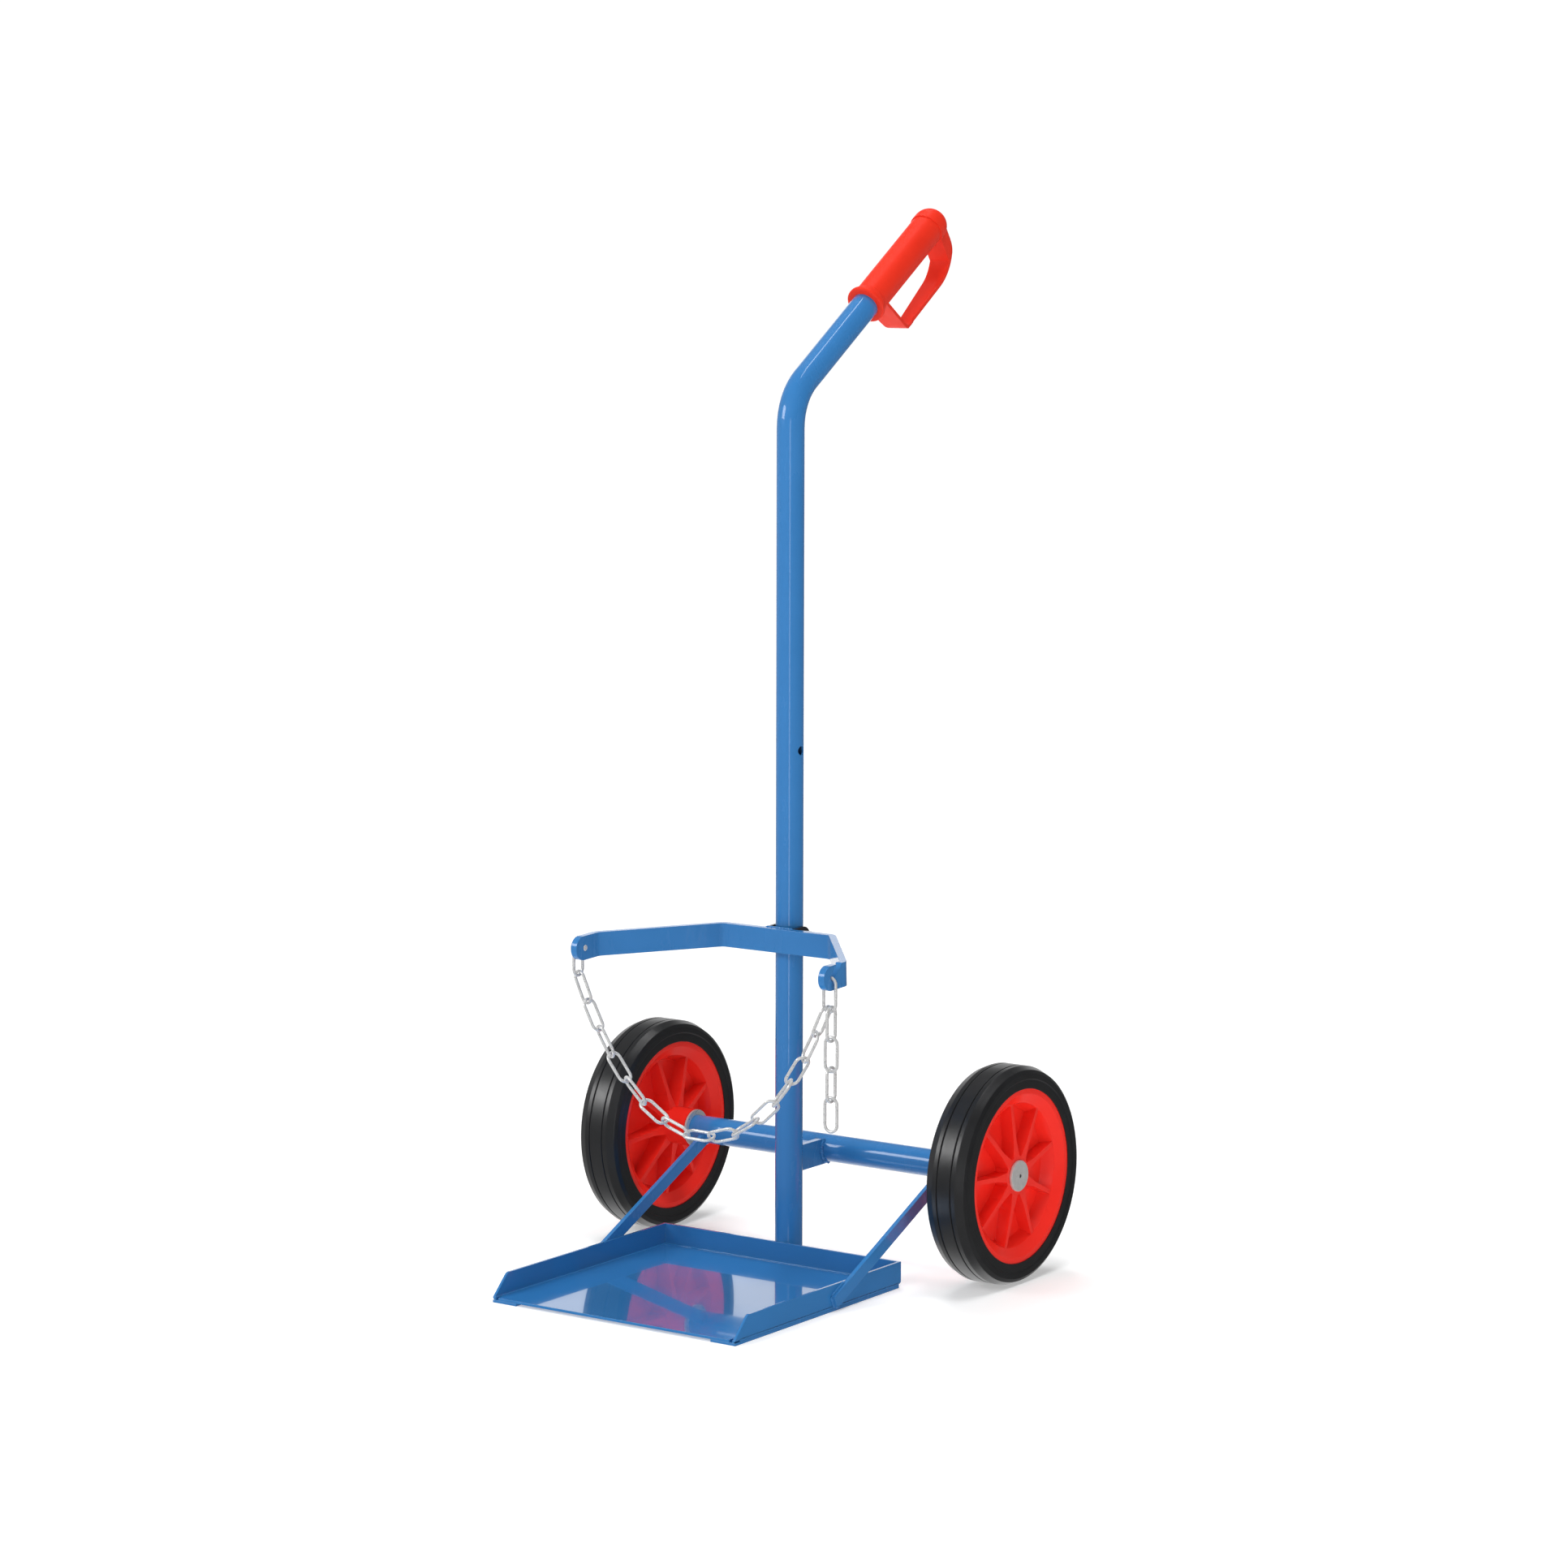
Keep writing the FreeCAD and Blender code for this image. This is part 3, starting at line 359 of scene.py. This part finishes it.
# The wire's size against the flat-sided one, and the weld's swelling and half length, in wire sizes
WIRE_SHARE = 0.96
WELD_SWELL = 0.07
WELD_REACH = 0.55


def frame_of(name):
    """A chain link's middle, long axis, flat side and spans, from its own corners."""
    points = np.array([v.co for v in NODES[name].data.vertices], float)
    points = np.unique(points.round(7), axis=0)
    middle = points.mean(0)
    _, _, axes = np.linalg.svd(points - middle, full_matrices=False)
    spans = [np.ptp((points - middle) @ axis) for axis in axes]
    return Vector(middle), Vector(axes[0]), Vector(axes[2]), spans


def link_mesh(length, width, wire):
    """One link: round wire bent to a long loop, with the swelling of its butt weld in one leg."""
    bend = (width - wire) / 2
    leg = length / 2 - wire / 2 - bend
    flat_side = Vector((0, 1, 0))
    stations = []
    for flip in (1, -1):
        for i in range(BEND_STEPS + 1):
            a = math.pi * i / BEND_STEPS
            out = Vector((flip * math.cos(a), 0, flip * math.sin(a)))
            stations.append((Vector((0, 0, flip * leg)) + out * bend, out))
        for i in range(1, LEG_STEPS):
            out = Vector((-flip, 0, 0))
            stations.append((out * bend + Vector((0, 0, flip * leg * (1 - 2 * i / LEG_STEPS))), out))
    mesh = bmesh.new()
    rings = []
    for centre, out in stations:
        weld = math.exp(-((centre.z / (WELD_REACH * wire)) ** 2)) if centre.x > 0 else 0
        radius = wire / 2 * (WIRE_SHARE + WELD_SWELL * weld)
        ring = []
        for k in range(WIRE_SIDES):
            b = 2 * math.pi * k / WIRE_SIDES
            spot = centre + out * radius * math.cos(b) + flat_side * radius * math.sin(b)
            ring.append(mesh.verts.new(spot))
        rings.append(ring)
    skin(mesh, rings + rings[:1])
    made = kept(mesh, "round_link", ZINC)
    made.shade_smooth()
    return made


LINKS = sorted(n for n in NODES if n.startswith(("chain_link", "chain_hooked", "chain_tail")))
_, _, _, LINK_SPANS = frame_of("chain_tail_1")
ROUND_LINK = link_mesh(*LINK_SPANS)
for name in LINKS:
    middle, along, normal, _ = frame_of(name)
    if along.z < 0:
        along = -along
    across = normal.cross(along)
    turn = Matrix((across, normal, along)).transposed().to_4x4()
    link = added("round_" + name, ROUND_LINK)
    link.matrix_world = Matrix.Translation(middle) @ turn
    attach(link, NODES[name]["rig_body"])
    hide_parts(name)


# Painted weld beads

BEAD_SIDES = 10
BEAD_STEP = 0.0006
# A bead's size at its ends, and the steps over which it grows to its full size
END_SHARE = 0.35
END_STEPS = 4
# The length of a puddle, and how much a bead swells in it
PUDDLE = 0.0026
PUDDLE_SWELL = 0.16
# Uneven swellings: share of the bead's size, radians per metre, times the bead's own seed
SWAYS = ((0.10, 900, 1), (0.06, 2300, 2))
# Points along the beads that follow the axle tube
LINK_ARC_STEPS = 12
BRACE_ARC_STEPS = 8
# How far the middles of beads stand off what they join, and how far beads stop short of its ends
SEAT = 0.3 * MM
CORNER = 0.4 * MM
LIFT = 0.5 * MM
SIDE_LIFT = 0.6 * MM
TOP_LIFT = 0.8 * MM
END_GAP = 1 * MM
BRACE_START = 2 * MM
FOOT_START = 3 * MM
CLEVIS_SIDE_END = 1.5 * MM
CLEVIS_TOP_DROP = 0.9 * MM
# The beads' radii
LINK_WELD = 2.6 * MM
FOOT_WELD = 2.2 * MM
BRACE_WELD = 2.0 * MM
BRACE_SIDE_WELD = 1.9 * MM
CLEVIS_WELD = 1.8 * MM
CLEVIS_TOP_WELD = 1.5 * MM
DRIP = 3.4 * MM
# How far the beads at the mast's foot lie to its sides, and how far round the tube the drip hangs
FOOT_X = 7.5 * MM
DRIP_TURN = 0.25


def on_frame(name, rings, smooth):
    """A blue painted piece of the frame, skinned over rings and closed at both ends."""
    mesh = bmesh.new()
    made_rings = [[mesh.verts.new(p) for p in ring] for ring in rings]
    skin(mesh, made_rings)
    mesh.faces.new(made_rings[0])
    mesh.faces.new(made_rings[-1][::-1])
    made = kept(mesh, name, BLUE)
    if smooth:
        made.shade_smooth()
    thing = added(name, made)
    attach(thing, "frame")


def along_path(points, step):
    """Points along a polyline at even steps, with the direction at each."""
    points = [Vector(p) for p in points]
    spots = []
    for start, end in zip(points, points[1:]):
        count = max(1, round((end - start).length / step))
        spots += [start.lerp(end, i / count) for i in range(count)]
    spots.append(points[-1])
    before = spots[:1] + spots[:-1]
    after = spots[1:] + spots[-1:]
    return [(spot, (b - a).normalized()) for spot, a, b in zip(spots, before, after)]


def bead(name, points, radius):
    """A weld bead: a line of overlapping puddles that thins out at both ends."""
    path = along_path(points, BEAD_STEP)
    seed = sum(ord(c) for c in name)
    turns = [2 * math.pi * k / BEAD_SIDES for k in range(BEAD_SIDES)]
    rings = []
    walked = 0.0
    for i, (spot, ahead) in enumerate(path):
        if i:
            walked += (spot - path[i - 1][0]).length
        puddle = abs(math.sin(math.pi * walked / PUDDLE + seed))
        sway = sum(share * math.sin(walked * rate + times * seed) for share, rate, times in SWAYS)
        ends = min(1.0, END_SHARE + (1 - END_SHARE) * min(i, len(path) - 1 - i) / END_STEPS)
        size = radius * (1 - PUDDLE_SWELL + PUDDLE_SWELL * puddle + sway) * ends
        side = ahead.orthogonal().normalized()
        other = ahead.cross(side)
        rings.append([spot + (side * math.cos(a) + other * math.sin(a)) * size for a in turns])
    on_frame(name, rings, smooth=True)


def steps(first, last, count):
    """Values from first to last in even steps."""
    return [first + (last - first) * i / count for i in range(count + 1)]


mast_low, mast_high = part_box("mast_tube")
tray_low, tray_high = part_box("tray")
link_low, link_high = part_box("axle_link")
tube_low, tube_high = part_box("axle_tube")
clevis_low, clevis_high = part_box("cradle_clevis")
MAST_R = (mast_high.x - mast_low.x) / 2
MAST_Y = mast_low.y + MAST_R
TUBE_R = (tube_high.z - tube_low.z) / 2
AXLE = (tube_low + tube_high) / 2
# The link may reach below the axle tube, so its bead stops just before the tube's lowest line
LOWEST_SINE = 0.97
# A brace's corners within this many tube radii in front of the axle lie at the tube
NEAR_TUBE = 1.2


def on_mast(x):
    """How far the mast's surface lies from its middle plane, at a distance to the side."""
    return math.sqrt(MAST_R**2 - x**2)


def on_tube(angle, x, proud):
    """A point just off the axle tube, at an angle from straight back."""
    return AXLE + Vector((x, (TUBE_R + proud) * math.cos(angle), (TUBE_R + proud) * math.sin(angle)))


# From the axle link to the mast and the axle tube, and from the mast to the tray
link_x = link_high.x
link_rear = MAST_Y + on_mast(link_x)
angle_low = math.pi + math.asin(min(LOWEST_SINE, (AXLE.z - link_low.z) / TUBE_R))
angle_high = math.pi - math.asin((link_high.z - AXLE.z) / TUBE_R)
for side, sign in SIDES.items():
    x = sign * (link_x + SIDE_LIFT)
    rear = link_rear + CORNER
    link_ends = (link_low.z + END_GAP, link_high.z - END_GAP)
    bead("weld_link_mast_" + side, [(x, rear, z) for z in link_ends], LINK_WELD)
    arc = steps(angle_high, angle_low, LINK_ARC_STEPS)
    bead("weld_link_tube_" + side, [on_tube(a, x, LIFT) for a in arc], LINK_WELD)
    x = sign * FOOT_X
    gap_y = (tray_high.y + MAST_Y - on_mast(x)) / 2
    foot_ends = (tray_low.z + FOOT_START, tray_high.z - END_GAP)
    bead("weld_mast_tray_" + side, [(x, gap_y, z) for z in foot_ends], FOOT_WELD)
bead("weld_link_top", [(x, link_rear + TOP_LIFT, link_high.z) for x in (-link_x, link_x)], FOOT_WELD)
drip_end = on_tube(angle_low + DRIP_TURN, link_x + END_GAP, SEAT)
bead("weld_link_drip", [on_tube(angle_low, link_x, LIFT), drip_end], DRIP)

# From the braces to the tray's sides and to the axle tube
for side, sign in SIDES.items():
    inner = tray_high.x * sign
    low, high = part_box("brace_" + side)
    outer = high.x if sign > 0 else low.x
    foot = [v.co.copy() for v in NODES["brace_" + side].data.vertices if abs(v.co.x - inner) < 0.1 * MM]
    top_foot = min(foot, key=lambda p: p.y)
    low_foot = min(foot, key=lambda p: p.z)
    highest = max(foot, key=lambda p: p.z)
    slope = (highest - top_foot).normalized()
    seam_x = inner + sign * CORNER
    for label, start, lift in (("top", top_foot, LIFT), ("low", low_foot, -LIFT)):
        length = (tray_high.z - start.z) / slope.z
        shift = Vector((0, -slope.z, slope.y)) * lift
        first = start + slope * BRACE_START + shift
        last = start + slope * (length - END_GAP) + shift
        first.x = last.x = seam_x
        bead("weld_brace_" + label + "_" + side, [first, last], BRACE_SIDE_WELD)
    bead("weld_brace_foot_" + side, [(seam_x, p.y, p.z) for p in (top_foot, low_foot)], BRACE_WELD)
    near_tube = [p for p in foot if p.y > AXLE.y - TUBE_R * NEAR_TUBE]
    reach = [math.atan2(p.z - AXLE.z, p.y - AXLE.y) % (2 * math.pi) for p in near_tube]
    sweep = steps(min(reach), max(reach), BRACE_ARC_STEPS)
    for label, x in (("inner", inner - sign * SEAT), ("outer", outer + sign * SEAT)):
        bead("weld_brace_tube_" + label + "_" + side, [on_tube(a, x, SEAT) for a in sweep], BRACE_WELD)

# From the clevis to the cradle bar
for side, sign in SIDES.items():
    x = clevis_high.x * sign
    low_end = (x, clevis_low.y + SIDE_LIFT, clevis_low.z + END_GAP)
    high_end = (x, clevis_low.y, clevis_high.z - CLEVIS_SIDE_END)
    bead("weld_clevis_" + side, [low_end, high_end], CLEVIS_WELD)
top_z = clevis_high.z - CLEVIS_TOP_DROP
top_ends = (clevis_low.x + END_GAP, clevis_high.x - END_GAP)
bead("weld_clevis_top", [(x, clevis_low.y, top_z) for x in top_ends], CLEVIS_TOP_WELD)


# Filler between the tray and its skids

TRAY_FOLD = 4.0 * MM
SEAM_START = 9 * MM
SEAM_STEPS = 160
SEAM_DIP = 0.12 * MM
# Two waves along the steps, whose product makes the dip uneven
SEAM_WAVES = (1.7, 0.31)
FOLD_GAP = 0.05 * MM
FOLD_STEPS = 6


def skid_seam(side):
    """Filler that closes the groove between the tray's fold and its skid, dressed flush with the flange."""
    low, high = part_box("tray_skid_" + side)
    face = tray_high.x
    top = high.z + TRAY_FOLD
    rings = []
    for i in range(SEAM_STEPS + 1):
        y = low.y + SEAM_START + (high.y - low.y - SEAM_START) * i / SEAM_STEPS
        dip = SEAM_DIP * (1 + math.prod(math.sin(i * rate) for rate in SEAM_WAVES))
        ring = [(face - dip, high.z), (face - dip, top)]
        for k in range(1, FOLD_STEPS + 1):
            a = math.pi / 2 * k / FOLD_STEPS
            x = face - TRAY_FOLD + TRAY_FOLD * math.cos(a) + FOLD_GAP
            ring.append((x, top - TRAY_FOLD * math.sin(a) - FOLD_GAP))
        rings.append([Vector((SIDES[side] * x, y, z)) for x, z in ring])
    on_frame("skid_seam_" + side, rings, smooth=False)


for side in SIDES:
    skid_seam(side)


# Floor

FLOOR_SIZE = 60
FLOOR_TONES = ((0.70, 0.70, 0.70), (0.72, 0.72, 0.72))
# The floor's own glow near the trolley and far from it, and the distances between which it rises
FLOOR_GLOW = 0.55
FAR_GLOW = 1.25
GLOW_RISE = (2.0, 6.0)

mesh = bmesh.new()
bmesh.ops.create_grid(mesh, x_segments=1, y_segments=1, size=FLOOR_SIZE)
floor_look, tree, shader = tree_of("pale_floor")
floor = added("floor", kept(mesh, "floor", floor_look))
low_tone, high_tone = FLOOR_TONES
tone = ramp(tree, noise(tree, place(tree), scale=1.5), (0.3, low_tone), (0.7, high_tone))
tree.links.new(tone, shader.inputs["Base Color"])
tree.links.new(tone, shader.inputs["Emission Color"])
away = node(tree, "VectorMath", {0: place(tree)}, operation="LENGTH").outputs["Value"]
tree.links.new(spread(tree, away, FLOOR_GLOW, FAR_GLOW, *GLOW_RISE), shader.inputs["Emission Strength"])
shader.inputs["Roughness"].default_value = 0.9
shader.inputs["Specular IOR Level"].default_value = 0.1
floor.visible_glossy = False


# Studio: a wall that is bright behind the trolley, dim elsewhere and dark on the right

WALL_GLOW = 0.08
BACK_GLOW = 0.95
TOP_GLOW = 0.06
LOW_GLOW = 0.12
LEFT_GLOW = 0.15
FRONT_GLOW = 0.10
AZIMUTH, PITCH, ROLL = math.radians(34.937), math.radians(7.454), math.radians(0.139)
TO_RIGHT = (math.cos(AZIMUTH), math.sin(AZIMUTH), 0)
TO_BACK = (-math.sin(AZIMUTH), math.cos(AZIMUTH), 0)
UP = (0, 0, 1)
DOWN = (0, 0, -1)

world = bpy.data.worlds.new("studio")
bpy.context.scene.world = world
world.use_nodes = True
tree = world.node_tree
ray = node(tree, "TexCoord").outputs["Generated"]


def facing(direction, between, values):
    """A value that eases from one to another as a ray turns towards a direction, between two cosines."""
    along = node(tree, "VectorMath", {0: ray, 1: direction}, operation="DOT_PRODUCT").outputs["Value"]
    (start, end), (low, high) = between, values
    inputs = {"Value": along, "From Min": start, "From Max": end, "To Min": low, "To Max": high}
    return node(tree, "MapRange", inputs, interpolation_type="SMOOTHSTEP").outputs["Result"]


def combine(operation, first, second):
    return node(tree, "Math", {0: first, 1: second}, operation=operation).outputs[0]


glow = facing(TO_BACK, between=(0.0, 0.3), values=(0.0, 1.0))
glow = combine("MULTIPLY", glow, facing(TO_RIGHT, between=(0.20, 0.45), values=(1.0, 0.05)))
glow = combine("MULTIPLY", glow, facing(TO_RIGHT, between=(-0.6, -0.25), values=(0.15, 1.0)))
glow = combine("MULTIPLY", glow, facing(UP, between=(0.25, 0.5), values=(1.0, 0.05)))
light = combine("MULTIPLY", glow, BACK_GLOW)
light = combine("ADD", light, facing(UP, between=(0.2, 0.75), values=(0.0, TOP_GLOW)))
light = combine("ADD", light, facing(DOWN, between=(0.2, 0.7), values=(0.0, LOW_GLOW)))
light = combine("ADD", light, facing(TO_RIGHT, between=(-0.85, 0.1), values=(LEFT_GLOW, 0.0)))
light = combine("ADD", light, facing(TO_BACK, between=(-0.95, -0.2), values=(FRONT_GLOW, 0.0)))
light = combine("ADD", light, WALL_GLOW)
tree.links.new(light, tree.nodes["Background"].inputs["Strength"])
tree.nodes["Background"].inputs["Color"].default_value = (1, 1, 1, 1)


# Lights

def softbox(name, spot, aim, size, power, mirrored=False):
    """An area light that the glossy paint mirrors, or one that only lights it."""
    light = bpy.data.lights.new(name, "AREA")
    light.shape = "RECTANGLE"
    light.size, light.size_y = size
    light.energy = power
    thing = added(name, light)
    thing.location = spot
    thing.rotation_euler = (Vector(aim) - Vector(spot)).to_track_quat("-Z", "Y").to_euler()
    thing.visible_glossy = mirrored


softbox("key", spot=(-2.5, -3.5, 2.45), aim=(0, 0, 0.3), size=(2.0, 1.4), power=62, mirrored=True)
softbox("front", spot=(0.6, -4.2, 3.4), aim=(0, 0, 0.45), size=(2.0, 1.4), power=52)
softbox("top", spot=(-2.4, 2.4, 6.5), aim=(0, 0, 0.3), size=(2.8, 2.8), power=220)
softbox("roof", spot=(1.2, -0.4, 6.5), aim=(0, 0, 0.3), size=(2.2, 2.2), power=165)
softbox("wheels", spot=(2.6, -1.2, 0.35), aim=(0, 0.15, 0.15), size=(1.0, 0.5), power=12)
softbox("upright_strip", spot=(3.3, -5.4, 0.6), aim=(0, 0, 0.6), size=(0.9, 3.2), power=26, mirrored=True)
softbox("roof_strip", spot=(-0.15, 0.6, 3.6), aim=(0, 0.3, 1.1), size=(0.16, 2.4), power=9, mirrored=True)


# Camera

CAMERA_AT = Vector((2.8793, -4.1088, 1.2184))
right = Vector(TO_RIGHT)
ahead = Vector((-math.sin(AZIMUTH) * math.cos(PITCH), math.cos(AZIMUTH) * math.cos(PITCH), -math.sin(PITCH)))
up = right.cross(ahead)
right, up = math.cos(ROLL) * right + math.sin(ROLL) * up, math.cos(ROLL) * up - math.sin(ROLL) * right
camera = bpy.data.cameras.new("camera")
camera.sensor_width = 36
camera.lens = 102.05
camera.shift_x = -0.0037
camera.clip_end = 200
holder = added("camera", camera)
holder.matrix_world = Matrix.Translation(CAMERA_AT) @ Matrix((right, up, -ahead)).transposed().to_4x4()
bpy.context.scene.camera = holder
bpy.context.scene.view_settings.view_transform = "Standard"
